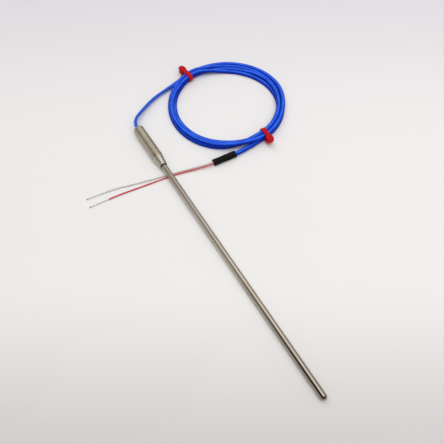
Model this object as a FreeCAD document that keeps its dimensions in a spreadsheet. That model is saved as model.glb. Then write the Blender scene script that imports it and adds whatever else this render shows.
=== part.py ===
import FreeCAD, Part
import math
import os
import Sketcher
from FreeCAD import Placement, Rotation, Vector

# A mineral insulated thermocouple lying on a table: a metal-sheathed probe, a pot sleeve with the
# splices inside, and a flat twin cable in a tied coil that ends in two bared tails.
# Millimetres. +X runs along the probe from the pot to the tip, +Z is up, and the table is Z = 0.

DRIVING_SIZES = [
    ("sheath_diameter", 6.0, "outside of the probe"),
    ("sheath_wall", 0.75, "wall of the sheath tube"),
    ("sheath_length", 250.0, "from the mouth of the pot to the tip"),
    ("sheath_inside", 18.0, "from the mouth of the pot back to the open end"),
    ("sheath_swage", 0.3, "how far the crimp presses the sheath in"),
    ("tip_wall", 1.5, "metal at the middle of the closed tip"),
    ("element_diameter", 0.9, "each thermoelement wire"),
    ("element_spacing", 2.0, "between the wires, and between the cable's cores"),
    ("junction_diameter", 3.2, "bead that joins the wires"),
    ("junction_gap", 1.2, "mineral between the bead and the tip"),
    ("seal_length", 2.5, "seal in the open end of the sheath"),
    ("pot_diameter", 11.0, "straight body of the pot"),
    ("pot_wall", 0.8, "wall of the straight body"),
    ("pot_body", 41.5, "length of the straight body"),
    ("pot_rim_round", 1.0, "rounding of the rear rim"),
    ("neck_length", 13.0, "swaged neck, from the shoulder to the mouth"),
    ("neck_wall", 0.95, "wall of the neck at its mouth"),
    ("neck_grip", 10.0, "length that grips the sheath"),
    ("mouth_lip", 0.6, "length of the bevel at the mouth"),
    ("mouth_bevel", 0.15, "depth of the bevel at the mouth"),
    ("mouth_gap", 0.63, "countersink between the mouth and the sheath"),
    ("flat_run", 11.0, "length of the crimp flats"),
    ("flat_depth", 0.27, "depth of the crimp flats at the mouth"),
    ("stake_radius", 1.3, "punch that stakes the shoulder"),
    ("stake_depth", 0.45, "depth of a stake mark"),
    ("stake_setback", 0.7, "from the shoulder back to the stake marks"),
    ("resin_recess", 0.5, "resin below the rear rim"),
    ("jacket_inside", 9.0, "cable jacket inside the pot"),
    ("cable_width", 4.7, "flat twin cable, across both cores"),
    ("cable_thickness", 3.0, "flat twin cable, through one core"),
    ("core_diameter", 1.4, "insulated core"),
    ("conductor_diameter", 0.6, "stranded conductor"),
    ("ferrule_diameter", 1.7, "splice ferrule"),
    ("ferrule_length", 6.0, "splice ferrule"),
    ("ferrule_stagger", 9.0, "second splice, further in than the first"),
    ("ferrule_setback", 4.0, "from the jacket's end to the first splice"),
    ("splice_sleeve_wall", 0.25, "insulation over a splice"),
    ("splice_sleeve_overhang", 1.0, "insulation past each end of a splice"),
    ("coil_radius", 58.5, "middle of the coil's turns"),
    ("coil_width", 9.8, "two strands side by side"),
    ("coil_height", 6.0, "two layers of strands"),
    ("coil_edge_round", 1.4, "rounding of the coil's edges"),
    ("bundle_length", 22.0, "stretch of stacked strands at a cable tie"),
    ("fan_out", 3.9, "how far the loose turns stray outwards"),
    ("fan_in", 5.2, "how far the loose turns stray inwards"),
    ("strap_width", 4.7, "cable tie's strap"),
    ("strap_thickness", 1.2, "cable tie's strap"),
    ("strap_corner", 2.0, "inner bend of the strap"),
    ("strap_clearance", 0.3, "between the strap and the coil"),
    ("strap_stub", 1.6, "trimmed end past the head"),
    ("head_depth", 6.4, "cable tie's head, along the strap end"),
    ("head_width", 7.2, "cable tie's head, across the strap"),
    ("head_height", 7.4, "cable tie's head"),
    ("head_standoff", 0.9, "head out from the inside of the strap"),
    ("head_cap", 1.0, "head above the strap end"),
    ("head_round", 1.6, "rounding of the head's edges"),
    ("slot_clearance", 0.15, "between the strap end and its slot"),
    ("tooth_pitch", 1.1, "ratchet teeth on the strap"),
    ("tooth_depth", 0.35, "ratchet teeth on the strap"),
    ("tooth_rail", 0.6, "plain edge beside the teeth"),
    ("pawl_length", 3.2, "locking tongue in the head"),
    ("pawl_width", 2.4, "locking tongue in the head"),
    ("pawl_thickness", 0.84, "locking tongue in the head"),
    ("pawl_setback", 0.7, "locking tongue in from the head's outer end"),
    ("pawl_well", 2.0, "depth of the well that the tongue bends into"),
    ("sleeve_wall", 1.2, "adhesive lined heat-shrink sleeve"),
    ("sleeve_jacket", 12.0, "cable jacket inside the heat-shrink sleeve"),
    ("bare_red", 19.5, "bare end of the red tail"),
    ("bare_white", 15.0, "bare end of the white tail"),
]

STAKE_COUNT = 4
STAKE_TURN = -30.0
FLAT_COUNT = 8
TOOTH_COUNT = 12
PAWL_TILT = 21.0
UPPER_TIE_TURN = 197.0
LOWER_TIE_TURN = 8.0
UPPER_TIE_SKEW = -9.0
LOWER_TIE_SKEW = -14.0
ARC_SHARE = 0.45

# Places of the cable, measured from the point where it leaves the pot. Heights are above the table.
COIL_CENTRE = Vector(12.45, 99.8, 0.0)
LEAD_POINTS = [
    Vector(-12.6, 2.4, 5.6),
    Vector(-18.0, 6.9, 5.1),
    Vector(-23.5, 14.0, 4.3),
    Vector(-28.8, 22.5, 3.5),
    Vector(-33.3, 31.4, 2.9),
    Vector(-36.9, 40.7, 2.7),
    Vector(-39.3, 49.5, 2.9),
    Vector(-41.4, 58.6, 3.3),
]
LEAD_STRAIGHT = 6.0
LEAD_STUB = 15.0
END_START = Vector(75.35, 80.7, 0.0)
END_STRAIGHT = 5.0
END_STUB = 12.0
SLEEVE_START = Vector(75.5, 69.1, 0.0)
SLEEVE_END = Vector(73.9, 44.4, 0.0)
RED_POINTS = [
    Vector(72.6, 31.5, 2.2),
    Vector(70.6, 24.0, 1.45),
    Vector(68.3, 15.6, 0.95),
    Vector(65.7, 3.5, 0.77),
    Vector(64.1, -9.0, 0.75),
    Vector(62.8, -22.0, 0.75),
    Vector(61.3, -35.5, 0.75),
    Vector(59.6, -48.8, 0.75),
    Vector(59.1, -61.3, 0.75),
]
WHITE_POINTS = [
    Vector(70.5, 31.3, 2.2),
    Vector(68.3, 23.6, 1.45),
    Vector(65.9, 14.9, 0.95),
    Vector(63.2, 2.8, 0.77),
    Vector(60.8, -9.6, 0.75),
    Vector(58.0, -23.0, 0.75),
    Vector(54.9, -37.4, 0.75),
    Vector(51.0, -51.4, 0.75),
    Vector(49.9, -64.8, 0.75),
]
TAIL_STRAIGHT = 5.0

UP = Vector(0, 0, 1)
ALONG_X = Rotation(Vector(0, 1, 0), 90)

doc = FreeCAD.newDocument("thermocouple")
sheet = doc.addObject("Spreadsheet::Sheet", "sizes")
for row, (alias, value, note) in enumerate(DRIVING_SIZES, start=1):
    sheet.set(f"A{row}", note)
    sheet.set(f"B{row}", str(value))
    sheet.setAlias(f"B{row}", alias)
doc.recompute()


def number(expression):
    """The value of an expression on the sheet's sizes."""
    return float(sheet.evalExpression(expression))


def size(alias):
    return number(f"sizes.{alias}")


def bind(obj, **expressions):
    for name, expression in expressions.items():
        obj.setExpression(name, expression)
    return obj


# Lengths along the probe's own axis, from the mouth of the pot towards the tip
POT_REAR = "-(sizes.pot_body + sizes.neck_length)"
JACKET_END = f"({POT_REAR} + sizes.jacket_inside)"
SHEATH_OPEN = "-sizes.sheath_inside"
TIP_INNER = "(sizes.sheath_length - sizes.tip_wall)"
BEAD_CENTRE = f"({TIP_INNER} - sizes.junction_gap - sizes.junction_diameter / 2)"
BORE_RADIUS = "(sizes.pot_diameter / 2 - sizes.pot_wall)"
SHEATH_RADIUS = "(sizes.sheath_diameter / 2)"
SHEATH_BORE = f"({SHEATH_RADIUS} - sizes.sheath_wall)"
GRIP_RADIUS = f"({SHEATH_RADIUS} - sizes.sheath_swage)"
NECK_RADIUS = f"({GRIP_RADIUS} + sizes.neck_wall)"


def resting_place():
    """Lays the probe's axis down: the pot's shoulder and the tip both touch the table."""
    pot_radius = size("pot_diameter") / 2
    tip_radius = size("sheath_diameter") / 2
    span = size("neck_length") + size("sheath_length") - tip_radius
    tilt = math.asin(pot_radius / math.hypot(span, pot_radius))
    tilt -= math.asin(tip_radius / math.hypot(span, pot_radius))
    middle = (size("sheath_length") + number(POT_REAR)) / 2
    height = tip_radius + (size("sheath_length") - tip_radius) * math.sin(tilt)
    turn = Rotation(Vector(0, 1, 0), math.degrees(tilt))
    return Placement(Vector(-middle * math.cos(tilt), 0, height), turn)


PROBE = resting_place()
EXIT = PROBE.multVec(Vector(number(POT_REAR), 0, 0))
PROBE_AXIS = PROBE.Rotation.multVec(Vector(1, 0, 0))


def on_table(point):
    """A cable point: its place from the exit, its height from the table."""
    return Vector(EXIT.x + point.x, EXIT.y + point.y, point.z)


def rod(label, radius, start, length, side="0"):
    """A round bar along the probe's axis, side millimetres above it. Sizes are expressions."""
    bar = doc.addObject("Part::Cylinder", label)
    bar.Label = label
    bind(bar, Radius=radius, Height=length)
    local = Placement(Vector(number(start), 0, number(side)), ALONG_X)
    bar.Placement = PROBE.multiply(local)
    return bar


def ball(label, radius, centre):
    """A ball on the probe's axis."""
    sphere = doc.addObject("Part::Sphere", label)
    sphere.Label = label
    bind(sphere, Radius=radius)
    sphere.Placement = PROBE.multiply(Placement(Vector(number(centre), 0, 0), ALONG_X))
    return sphere


def cut(label, base, tools):
    tool = tools[0]
    if len(tools) > 1:
        tool = doc.addObject("Part::MultiFuse", f"{label}_cutters")
        tool.Shapes = tools
    result = doc.addObject("Part::Cut", label)
    result.Label = label
    result.Base = base
    result.Tool = tool
    return result


def fuse(label, pieces):
    result = doc.addObject("Part::MultiFuse", label)
    result.Label = label
    result.Shapes = pieces
    result.Refine = True
    return result


def block(label, length, width, height):
    box = doc.addObject("Part::Box", label)
    box.Label = label
    bind(box, Length=length, Width=width, Height=height)
    return box


def rounded(label, base, radius, chosen):
    """Fillets the edges of base that chosen accepts."""
    doc.recompute()
    result = doc.addObject("Part::Fillet", label)
    result.Label = label
    result.Base = base
    edges = enumerate(base.Shape.Edges, start=1)
    result.Edges = [(index, radius, radius) for index, edge in edges if chosen(edge)]
    return result


def solid_piece(label, shape):
    piece = doc.addObject("Part::Feature", label)
    piece.Label = label
    piece.Shape = shape
    return piece


def turned_body(name, points):
    """A body revolved about X. Each point is a pair of expressions: along the axis, and out from it."""
    body = doc.addObject("PartDesign::Body", name)
    sketch = body.newObject("Sketcher::SketchObject", f"{name}_profile")
    planes = body.Origin.OriginFeatures
    sketch.AttachmentSupport = [(next(p for p in planes if p.Role == "XZ_Plane"), "")]
    sketch.MapMode = "FlatFace"
    corners = [Vector(number(along), number(out), 0) for along, out in points]
    for start, end in zip(corners, corners[1:] + corners[:1]):
        sketch.addGeometry(Part.LineSegment(start, end), False)
    count = len(points)
    for line in range(count):
        sketch.addConstraint(Sketcher.Constraint("Coincident", line, 2, (line + 1) % count, 1))
    for line, (along, out) in enumerate(points):
        if abs(corners[line].x) < 1e-9:
            sketch.addConstraint(Sketcher.Constraint("PointOnObject", line, 1, -2))
        else:
            index = sketch.addConstraint(Sketcher.Constraint("DistanceX", -1, 1, line, 1, corners[line].x))
            sketch.setExpression(f"Constraints[{index}]", along)
        if abs(corners[line].y) < 1e-9:
            sketch.addConstraint(Sketcher.Constraint("PointOnObject", line, 1, -1))
        else:
            index = sketch.addConstraint(Sketcher.Constraint("DistanceY", -1, 1, line, 1, corners[line].y))
            sketch.setExpression(f"Constraints[{index}]", out)
    revolution = body.newObject("PartDesign::Revolution", f"{name}_turned")
    revolution.Profile = sketch
    revolution.ReferenceAxis = (sketch, ["H_Axis"])
    revolution.Angle = 360.0
    body.Placement = PROBE
    doc.recompute()
    return body, revolution


def make_sheath():
    tube = rod("sheath_tube", SHEATH_RADIUS, "0", f"sizes.sheath_length - {SHEATH_RADIUS}")
    tip = ball("sheath_tip", SHEATH_RADIUS, f"sizes.sheath_length - {SHEATH_RADIUS}")
    gripped = rod("sheath_gripped", GRIP_RADIUS, SHEATH_OPEN, "sizes.sheath_inside")
    bore = rod("sheath_bore", SHEATH_BORE, SHEATH_OPEN, f"{TIP_INNER} - ({SHEATH_OPEN})")
    return cut("probe_sheath", fuse("sheath_outside", [tube, tip, gripped]), [bore])


def side_of(sign):
    return f"{sign} * sizes.element_spacing / 2"


def ferrule_start(number_along):
    return f"({JACKET_END} + sizes.ferrule_setback + {number_along} * sizes.ferrule_stagger)"


def make_elements():
    """Both thermoelements, from the middle of their ferrules to the bead that joins them."""
    elements = []
    for name, sign, order in (("positive", 1, 0), ("negative", -1, 1)):
        start = f"({ferrule_start(order)} + sizes.ferrule_length / 2)"
        length = f"{BEAD_CENTRE} - {start}"
        wire = rod(f"wire_{name}", "sizes.element_diameter / 2", start, length, side_of(sign))
        bead = ball(f"wire_end_{name}", "sizes.junction_diameter / 2", BEAD_CENTRE)
        elements.append(cut(f"element_{name}", wire, [bead]))
    return elements


def make_mineral_core(elements, bead):
    start = f"({SHEATH_OPEN} + sizes.seal_length)"
    powder = rod("mineral_blank", SHEATH_BORE, start, f"{TIP_INNER} - {start}")
    return cut("mineral_core", powder, elements + [bead])


def make_end_seal(elements):
    plug = rod("seal_blank", SHEATH_BORE, SHEATH_OPEN, "sizes.seal_length")
    return cut("sheath_end_seal", plug, elements)


def is_rear_rim(edge):
    """The outer edge of the pot's rear end, in the pot's own frame."""
    curve = edge.Curve
    if not isinstance(curve, Part.Circle):
        return False
    outer = abs(curve.Radius - size("pot_diameter") / 2) < 1e-6
    return outer and abs(curve.Center.x - number(POT_REAR)) < 1e-6


def make_pot():
    """A turned sleeve: straight body, staked shoulder, and a tapered neck crimped to the sheath."""
    body, turned = turned_body("pot_blank", [
        (POT_REAR, BORE_RADIUS),
        (POT_REAR, "sizes.pot_diameter / 2"),
        ("-sizes.neck_length", "sizes.pot_diameter / 2"),
        ("-sizes.mouth_lip", NECK_RADIUS),
        ("0", f"{NECK_RADIUS} - sizes.mouth_bevel"),
        ("0", f"{GRIP_RADIUS} + sizes.mouth_gap"),
        ("-sizes.mouth_gap", GRIP_RADIUS),
        ("-sizes.neck_grip", GRIP_RADIUS),
        ("-sizes.neck_length - sizes.pot_wall", BORE_RADIUS),
    ])
    edges = enumerate(turned.Shape.Edges, start=1)
    rim = body.newObject("PartDesign::Fillet", "pot_rim")
    rim.Base = (turned, [f"Edge{index}" for index, edge in edges if is_rear_rim(edge)])
    bind(rim, Radius="min(sizes.pot_rim_round; sizes.pot_wall * 0.9)")
    return cut("pot_sleeve", body, crimp_flats() + stake_marks())


def crimp_flats():
    """Flat cutters round the neck, which run out towards the shoulder."""
    neck = number(NECK_RADIUS)
    mouth_radius = neck - size("flat_depth")
    slope = (size("pot_diameter") / 2 - neck) / (size("neck_length") - size("mouth_lip"))
    start_radius = neck + (size("flat_run") - size("mouth_lip")) * slope
    lean = math.degrees(math.atan2(start_radius - mouth_radius, size("flat_run")))
    corner = Placement(Vector(-size("neck_length"), -neck, 0), Rotation())
    lying = Placement(Vector(0, 0, mouth_radius), Rotation(Vector(0, 1, 0), lean)).multiply(corner)
    cutters = []
    for index in range(FLAT_COUNT):
        cutter = block(f"flat_cutter_{index + 1}", f"sizes.neck_length + 2 * {NECK_RADIUS}",
                       f"2 * {NECK_RADIUS}", "sizes.pot_diameter / 2")
        turn = Placement(Vector(), Rotation(Vector(1, 0, 0), 360.0 * index / FLAT_COUNT))
        cutter.Placement = PROBE.multiply(turn).multiply(lying)
        cutters.append(cutter)
    return cutters


def stake_marks():
    """Round punches pressed into the body just behind the shoulder."""
    along = -size("neck_length") - size("stake_setback")
    out = size("pot_diameter") / 2 - size("stake_depth") + size("stake_radius")
    punches = []
    for index in range(STAKE_COUNT):
        punch = doc.addObject("Part::Sphere", f"stake_punch_{index + 1}")
        bind(punch, Radius="sizes.stake_radius")
        turn = Rotation(Vector(1, 0, 0), -(STAKE_TURN + 360.0 * index / STAKE_COUNT))
        local = Placement(Vector(along, 0, 0) + turn.multVec(Vector(0, 0, out)), turn)
        punch.Placement = PROBE.multiply(local)
        punches.append(punch)
    return punches


def make_splices():
    """For each core: ferrule, sleeve over it, and the core's insulation and conductor inside the pot."""
    pieces = []
    half = "sizes.ferrule_length / 2"
    ferrule = "sizes.ferrule_diameter / 2"
    conductor = "sizes.conductor_diameter / 2"
    cover_length = "sizes.ferrule_length + 2 * sizes.splice_sleeve_overhang"
    for name, colour, sign, order in (("positive", "red", 1, 0), ("negative", "white", -1, 1)):
        side = side_of(sign)
        start = ferrule_start(order)
        middle = f"({start} + {half})"
        barrel = rod(f"ferrule_barrel_{name}", ferrule, start, "sizes.ferrule_length", side)
        core_hole = rod(f"ferrule_core_hole_{name}", conductor, start, half, side)
        wire_hole = rod(f"ferrule_wire_hole_{name}", "sizes.element_diameter / 2", middle, half, side)
        pieces.append(cut(f"splice_ferrule_{name}", barrel, [core_hole, wire_hole]))
        cover_start = f"({start} - sizes.splice_sleeve_overhang)"
        cover = rod(f"cover_{name}", f"{ferrule} + sizes.splice_sleeve_wall", cover_start, cover_length, side)
        cover_bore = rod(f"cover_bore_{name}", ferrule, cover_start, cover_length, side)
        pieces.append(cut(f"splice_sleeve_{name}", cover, [cover_bore]))
        core_length = f"{start} - {JACKET_END}"
        core = rod(f"core_{colour}", "sizes.core_diameter / 2", JACKET_END, core_length, side)
        core_bore = rod(f"core_bore_{colour}", conductor, JACKET_END, core_length, side)
        pieces.append(cut(f"pot_core_{colour}", core, [core_bore]))
        pieces.append(rod(f"pot_conductor_{colour}", conductor, JACKET_END, f"{middle} - {JACKET_END}", side))
    return pieces


def make_resin(inside):
    """Fills the pot round the splices, the jacket and the open end of the sheath."""
    body, _ = turned_body("resin_blank", [
        (f"{POT_REAR} + sizes.resin_recess", "0"),
        (f"{POT_REAR} + sizes.resin_recess", BORE_RADIUS),
        ("-sizes.neck_length - sizes.pot_wall", BORE_RADIUS),
        ("-sizes.neck_grip", GRIP_RADIUS),
        ("-sizes.neck_grip", "0"),
    ])
    return cut("potting_resin", body, inside)


def stadium(centre, ahead, wide, width, thickness):
    """The cable's outline at a point: two straight sides joined by half rounds."""
    across = wide - ahead * wide.dot(ahead)
    across.normalize()
    over = ahead.cross(across)
    radius = thickness / 2
    reach = across * (width / 2 - radius)
    rise = over * radius
    nose = across * radius
    sides = [
        Part.LineSegment(centre - reach + rise, centre + reach + rise),
        Part.Arc(centre + reach + rise, centre + reach + nose, centre + reach - rise),
        Part.LineSegment(centre + reach - rise, centre - reach - rise),
        Part.Arc(centre - reach - rise, centre - reach - nose, centre - reach + rise),
    ]
    return Part.Wire([side.toShape() for side in sides])


def direction(start, end):
    run = end - start
    run.normalize()
    return run


def rounded_route(label, points):
    """Straight runs joined by tangent arcs, each arc as large as its two runs allow."""
    edges = []
    radii = []
    start = points[0]
    for before, corner, after in zip(points, points[1:], points[2:]):
        into = direction(before, corner)
        out = direction(corner, after)
        half_turn = into.getAngle(out) / 2
        reach = ARC_SHARE * min((corner - before).Length, (after - corner).Length)
        radius = reach / math.tan(half_turn)
        inward = direction(into, out)
        middle = corner + inward * (radius / math.cos(half_turn) - radius)
        arc_start = corner - into * reach
        arc_end = corner + out * reach
        edges.append(Part.LineSegment(start, arc_start).toShape())
        edges.append(Part.Arc(arc_start, middle, arc_end).toShape())
        radii.append(round(radius, 1))
        start = arc_end
    edges.append(Part.LineSegment(start, points[-1]).toShape())
    route = Part.Wire(edges)
    print(label, "length", round(route.Length, 1), "radii", radii)
    return route


def swept(label, outline, points):
    """Sweeps an outline along a rounded route and compares the volume with section times length."""
    route = rounded_route(label, points)
    pipe = Part.BRepOffsetAPI.MakePipeShell(route)
    pipe.add(outline, False, False)
    pipe.build()
    pipe.makeSolid()
    tube = pipe.shape()
    expected = Part.Face(outline).Area * route.Length
    print(label, "volume against section times length", round(tube.Volume / expected, 4))
    return tube


def end_face(tube, point):
    """The flat face that closes a swept tube at a point."""
    flat = [face for face in tube.Faces if isinstance(face.Surface, Part.Plane)]
    return min(flat, key=lambda face: (face.CenterOfMass - point).Length)


def prism(start, ahead, length, wide):
    """A straight stretch of the flat cable."""
    outline = stadium(start, ahead, wide, size("cable_width"), size("cable_thickness"))
    return Part.Face(outline).extrude(ahead * length)


def make_lead():
    """From the jacket's end inside the pot, straight out of the rear, then down to the table and the coil.
    Also gives the stretch that carries on into the coil."""
    route = [EXIT, EXIT - PROBE_AXIS * LEAD_STRAIGHT] + [on_table(point) for point in LEAD_POINTS]
    outline = stadium(EXIT, -PROBE_AXIS, UP, size("cable_width"), size("cable_thickness"))
    tube = swept("cable_lead", outline, route)
    potted = Part.Face(outline).extrude(PROBE_AXIS * size("jacket_inside"))
    into_coil = end_face(tube, route[-1]).extrude(direction(route[-2], route[-1]) * LEAD_STUB)
    return solid_piece("cable_lead", tube.fuse(potted).removeSplitter()), into_coil


def make_end():
    """From the coil into the heat-shrink sleeve, up to the jacket's end.
    Also gives the stretch that reaches back into the coil."""
    start, ahead, _ = sleeve_axis()
    route = [on_table(END_START) + sleeve_lift(), start - ahead * END_STRAIGHT, start]
    leaving = direction(route[0], route[1])
    outline = stadium(route[0], leaving, leaving.cross(UP), size("cable_width"), size("cable_thickness"))
    tube = swept("cable_end", outline, route)
    sleeved = prism(start, ahead, size("sleeve_jacket"), ahead.cross(UP))
    out_of_coil = end_face(tube, route[0]).extrude(leaving * -END_STUB)
    return solid_piece("cable_end", tube.fuse(sleeved).removeSplitter()), out_of_coil


def disc(label, radius, height, centre):
    """An upright cylinder on the table."""
    cylinder = doc.addObject("Part::Cylinder", label)
    bind(cylinder, Radius=radius, Height=height)
    cylinder.Placement = Placement(centre, Rotation())
    return cylinder


def band(label, height, outer_centre, inner_centre):
    """A flat ring of strands. The two circles may lie off centre."""
    outer = disc(f"{label}_outer", "sizes.coil_radius + sizes.coil_width / 2", height, outer_centre)
    inner = disc(f"{label}_inner", "sizes.coil_radius - sizes.coil_width / 2", height, inner_centre)
    return cut(label, outer, [inner])


def tie_place(turn, skew=0.0):
    """The middle of a tied bundle: X outwards from the coil's centre, Y along the strands.
    A tie that was pulled askew is turned further by its skew."""
    lift = size("strap_thickness") + size("strap_clearance") + size("coil_height") / 2
    angle = Rotation(UP, turn)
    centre = on_table(COIL_CENTRE) + angle.multVec(Vector(size("coil_radius"), 0, lift))
    return Placement(centre, angle.multiply(Rotation(UP, skew)))


def placed_block(label, place, sizes, corner, tilt=0.0):
    """A box set by its corner in a tie's frame. Its sizes and its corner are expressions."""
    box = block(label, *sizes)
    corner_point = Vector(*[number(distance) for distance in corner])
    box.Placement = place.multiply(Placement(corner_point, Rotation(Vector(0, 1, 0), tilt)))
    return box


def bundle_block(label, place, half_in, half_up, width, corner):
    """A box centred on a tied bundle, with rounded edges along the strands."""
    box = placed_block(f"{label}_box", place, (f"2 * {half_in}", width, f"2 * {half_up}"),
                       (f"-{half_in}", f"-({width}) / 2", f"-{half_up}"))
    along = place.Rotation.multVec(Vector(0, 1, 0))

    def along_strands(edge):
        run = direction(edge.Vertexes[0].Point, edge.Vertexes[1].Point)
        return abs(run.dot(along)) > 0.999

    return rounded(label, box, number(corner), along_strands)


BUNDLE_IN = "(sizes.coil_width / 2)"
BUNDLE_UP = "(sizes.coil_height / 2)"
STRAP_IN = f"({BUNDLE_IN} + sizes.strap_clearance)"
STRAP_UP = f"({BUNDLE_UP} + sizes.strap_clearance)"
HEAD_START = f"({STRAP_IN} + sizes.head_standoff)"


def strap_passage(label, place):
    """The room that a strap takes round the bundle."""
    width = "sizes.strap_width + 2 * sizes.strap_clearance"
    reach = "sizes.strap_thickness + 2 * sizes.strap_clearance"
    half_in = f"({BUNDLE_IN} + {reach})"
    half_up = f"({BUNDLE_UP} + {reach})"
    room = placed_block(f"{label}_room", place, (f"2 * {half_in}", width, f"2 * {half_up}"),
                        (f"-{half_in}", f"-({width}) / 2", f"-{half_up}"))
    bundle = bundle_block(f"{label}_bundle", place, BUNDLE_IN, BUNDLE_UP, width, "sizes.coil_edge_round")
    return cut(label, room, [bundle])


def make_coil(joining):
    """The coil's outer shape: a low ring, a band where the turns fan out, and a stack at each tie."""
    centre = on_table(COIL_CENTRE)
    centre.z = 0.0
    loose_turn = math.radians((UPPER_TIE_TURN + LOWER_TIE_TURN) / 2)
    loose_side = Vector(math.cos(loose_turn), math.sin(loose_turn), 0)
    raised = "sizes.cable_thickness + sizes.strap_thickness + sizes.strap_clearance"
    square = band("coil_square", raised, centre, centre)
    top = number(raised)
    ring = rounded("coil_ring", square, size("coil_edge_round"), lambda edge: edge.BoundBox.ZMin > top - 0.01)
    fan = band("coil_fan", "sizes.cable_thickness", centre + loose_side * size("fan_out"),
               centre - loose_side * size("fan_in"))
    pieces = [ring, fan]
    passages = []
    for turn, skew in ((UPPER_TIE_TURN, UPPER_TIE_SKEW), (LOWER_TIE_TURN, LOWER_TIE_SKEW)):
        place = tie_place(turn)
        name = f"tied_{turn:.0f}"
        pieces.append(bundle_block(f"{name}_stack", place, BUNDLE_IN, BUNDLE_UP, "sizes.bundle_length",
                                   "sizes.coil_edge_round"))
        passages.append(strap_passage(f"{name}_passage", tie_place(turn, skew)))
    for index, stretch in enumerate(joining):
        pieces.append(solid_piece(f"coil_joining_{index + 1}", stretch))
    coil = cut("cable_coil", fuse("coil_pieces", pieces), passages)
    coil.Refine = False
    return coil


def make_tie(label, turn, skew):
    """One moulding: the strap round the bundle, its toothed end through the head, and the locking pawl."""
    place = tie_place(turn, skew)
    loop = tie_loop(label, place)
    head, pawl = tie_head(label, place)
    end_length = "sizes.strap_corner + sizes.head_standoff + sizes.head_depth + sizes.strap_stub"
    strap_end = placed_block(
        f"{label}_strap_end", place, (end_length, "sizes.strap_width", "sizes.strap_thickness"),
        (f"{STRAP_IN} - sizes.strap_corner", "-sizes.strap_width / 2", STRAP_UP))
    whole = fuse(f"{label}_whole", [loop, head, pawl, strap_end])
    return cut(label, whole, strap_teeth(label, place))


def tie_loop(label, place):
    """The strap round the bundle, open at the corner where its end runs on into the head."""
    strap = "sizes.strap_thickness"
    outside = bundle_block(f"{label}_outside", place, f"({STRAP_IN} + {strap})", f"({STRAP_UP} + {strap})",
                           "sizes.strap_width", f"sizes.strap_corner + {strap}")
    inside = bundle_block(f"{label}_inside", place, STRAP_IN, STRAP_UP,
                          "sizes.strap_width", "sizes.strap_corner")
    corner = f"sizes.strap_corner + 2 * {strap}"
    open_corner = placed_block(
        f"{label}_open_corner", place, (corner, "2 * sizes.strap_width", corner),
        (f"{STRAP_IN} - sizes.strap_corner", "-sizes.strap_width", f"{STRAP_UP} - sizes.strap_corner"))
    return cut(f"{label}_loop", outside, [inside, open_corner])


def tie_head(label, place):
    """The head with a slot for the strap end, and a tongue that leans up to the teeth from a well."""
    strap = "sizes.strap_thickness"
    gap = "sizes.slot_clearance"
    head_low = f"{STRAP_UP} + {strap} + sizes.head_cap - sizes.head_height"
    square = placed_block(
        f"{label}_head_square", place, ("sizes.head_depth", "sizes.head_width", "sizes.head_height"),
        (HEAD_START, "-sizes.head_width / 2", head_low))
    body = rounded(f"{label}_head_body", square, size("head_round"), lambda edge: True)
    slot = placed_block(
        f"{label}_slot", place,
        (f"sizes.head_depth + 2 * {strap}", f"sizes.strap_width + 2 * {gap}", f"{strap} + 2 * {gap}"),
        (f"{HEAD_START} - {strap}", f"-sizes.strap_width / 2 - {gap}", f"{STRAP_UP} - {gap}"))
    well_start = f"({HEAD_START} + sizes.head_depth - sizes.pawl_setback - sizes.pawl_length)"
    well = placed_block(
        f"{label}_well", place, ("sizes.head_depth", f"sizes.pawl_width + 2 * {gap}", "sizes.pawl_well"),
        (well_start, f"-sizes.pawl_width / 2 - {gap}", f"{STRAP_UP} - {gap} - sizes.pawl_well"))
    pawl = placed_block(
        f"{label}_pawl", place, ("sizes.pawl_length", "sizes.pawl_width", "sizes.pawl_thickness"),
        (f"{well_start} - {strap} / 2", "-sizes.pawl_width / 2", f"{STRAP_UP} - sizes.pawl_well"), -PAWL_TILT)
    return cut(f"{label}_head", body, [slot, well]), pawl


def strap_teeth(label, place):
    """Grooves across the inner face of the strap, cut by square bars that stand on an edge."""
    bars = []
    side = "(sizes.tooth_depth * sqrt(2))"
    last = f"({HEAD_START} + sizes.head_depth + sizes.strap_stub)"
    width = "sizes.strap_width - 2 * sizes.tooth_rail"
    for index in range(TOOTH_COUNT):
        along = f"{last} - sizes.tooth_depth - {index + 0.5} * sizes.tooth_pitch"
        bars.append(placed_block(f"{label}_tooth_{index + 1}", place, (side, width, side),
                                 (along, f"-({width}) / 2", STRAP_UP), 45.0))
    return bars


def sleeve_axis():
    """The heat-shrink sleeve lies on the table, and the cable's end lies as high as its middle."""
    start = on_table(SLEEVE_START) + sleeve_lift()
    end = on_table(SLEEVE_END) + sleeve_lift()
    return start, direction(start, end), (end - start).Length


def sleeve_lift():
    return UP * (size("cable_thickness") / 2 + size("sleeve_wall"))


def make_end_sleeve():
    """Heat-shrink tube: tight on the jacket, then on the two cores side by side."""
    start, ahead, length = sleeve_axis()
    wide = ahead.cross(UP)
    wall = size("sleeve_wall")
    jacket = size("sleeve_jacket")
    cores_width = size("element_spacing") + size("core_diameter")
    outer_width = size("cable_width") + 2 * wall
    outer_thickness = size("cable_thickness") + 2 * wall
    outside = stadium(start, ahead, wide, outer_width, outer_thickness)
    cores = stadium(start + ahead * jacket, ahead, wide, cores_width, size("core_diameter"))
    tube = Part.Face(outside).extrude(ahead * length)
    tube = tube.cut(prism(start, ahead, jacket, wide))
    tube = tube.cut(Part.Face(cores).extrude(ahead * (length - jacket)))
    return solid_piece("end_sleeve", tube)


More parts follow.
